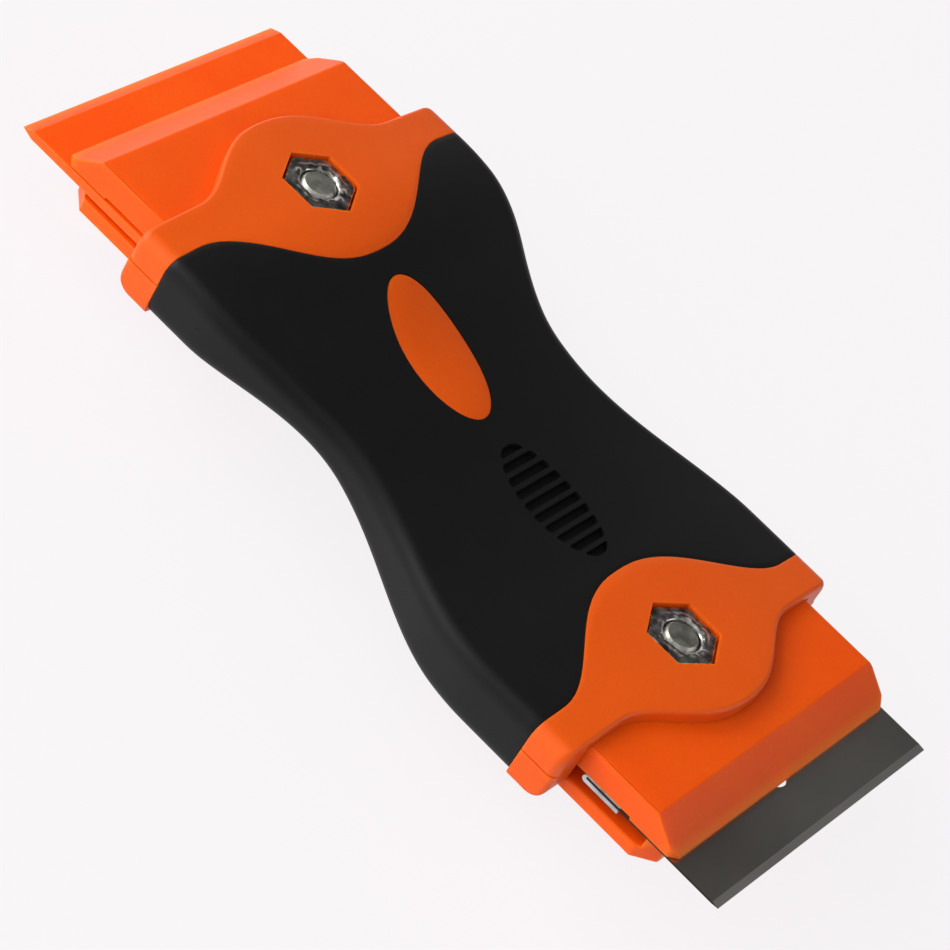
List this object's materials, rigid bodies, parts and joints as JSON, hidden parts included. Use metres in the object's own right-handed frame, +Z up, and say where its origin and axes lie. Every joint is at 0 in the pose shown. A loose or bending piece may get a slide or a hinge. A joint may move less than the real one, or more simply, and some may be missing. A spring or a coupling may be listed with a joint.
{
  "type": "double-ended razor scraper",
  "caption": "Hourglass two-tone scraper handle with a screw clamp at each end, one holding a plastic blade and the other a single-edge steel blade.",
  "frame": {"origin": "centre of the footprint, level with the lowest rim of the knobs, as the tool lies on a table on its two knobs", "axes": "+X along the tool from the plastic blade to the steel blade, +Y across it, +Z up out of the side that shows the nuts"},
  "size_m": [0.1052, 0.048, 0.0191],
  "materials": {
    "orange_shell": "moulded polypropylene, satin",
    "orange_jaw": "moulded polypropylene, satin",
    "orange_blade": "moulded acetal, smooth",
    "black_grip": "fine matt thermoplastic rubber",
    "bright_steel": "bright zinc plating",
    "blade_steel": "ground carbon steel, oiled",
    "spine_metal": "folded thin steel, bright",
    "black_knob": "moulded nylon, matt"
  },
  "bodies": {
    "handle": {"upper_shell": "orange_shell", "lower_shell": "orange_shell", "shell_screws": "bright_steel", "upper_grip": "black_grip", "lower_grip": "black_grip", "plastic_end_upper_jaw": "orange_jaw", "steel_end_upper_jaw": "orange_jaw", "plastic_end_nut": "bright_steel", "steel_end_nut": "bright_steel"},
    "plastic_clamp": {"plastic_end_lower_jaw": "orange_jaw"},
    "plastic_knob": {"plastic_end_knob": "black_knob", "plastic_end_screw": "bright_steel", "plastic_end_washer": "bright_steel"},
    "plastic_blade": {"plastic_blade": "orange_blade"},
    "steel_clamp": {"steel_end_lower_jaw": "orange_jaw"},
    "steel_knob": {"steel_end_knob": "black_knob", "steel_end_screw": "bright_steel", "steel_end_washer": "bright_steel"},
    "steel_blade": {"steel_blade": "blade_steel", "steel_blade_spine": "spine_metal"}
  },
  "joints": [
    {"name": "plastic_jaw_open", "type": "slide", "parent": "handle", "child": "plastic_clamp", "axis": [0.1589, 0, -0.9873], "range_m": [0, 0.0014]},
    {"name": "plastic_knob_turn", "type": "hinge", "parent": "plastic_clamp", "child": "plastic_knob", "pos_m": [-0.02894, 0, 0.00577], "axis": [0.1589, 0, -0.9873], "range_deg": [0, 720]},
    {"name": "plastic_blade_slide", "type": "slide", "parent": "plastic_clamp", "child": "plastic_blade", "axis": [0, -1, 0], "range_m": [0, 0.0395]},
    {"name": "steel_jaw_open", "type": "slide", "parent": "handle", "child": "steel_clamp", "axis": [0.1589, 0, -0.9873], "range_m": [0, 0.0014]},
    {"name": "steel_knob_turn", "type": "hinge", "parent": "steel_clamp", "child": "steel_knob", "pos_m": [0.03071, 0, 0.00577], "axis": [0.1589, 0, -0.9873], "range_deg": [0, 720]},
    {"name": "steel_blade_slide", "type": "slide", "parent": "steel_clamp", "child": "steel_blade", "axis": [0, -1, 0], "range_m": [0, 0.0395]}
  ],
  "couplings": [
    {"joint": "plastic_knob_turn", "follows": "plastic_jaw_open", "rad_per_m": 8976},
    {"joint": "steel_knob_turn", "follows": "steel_jaw_open", "rad_per_m": 8976}
  ]
}
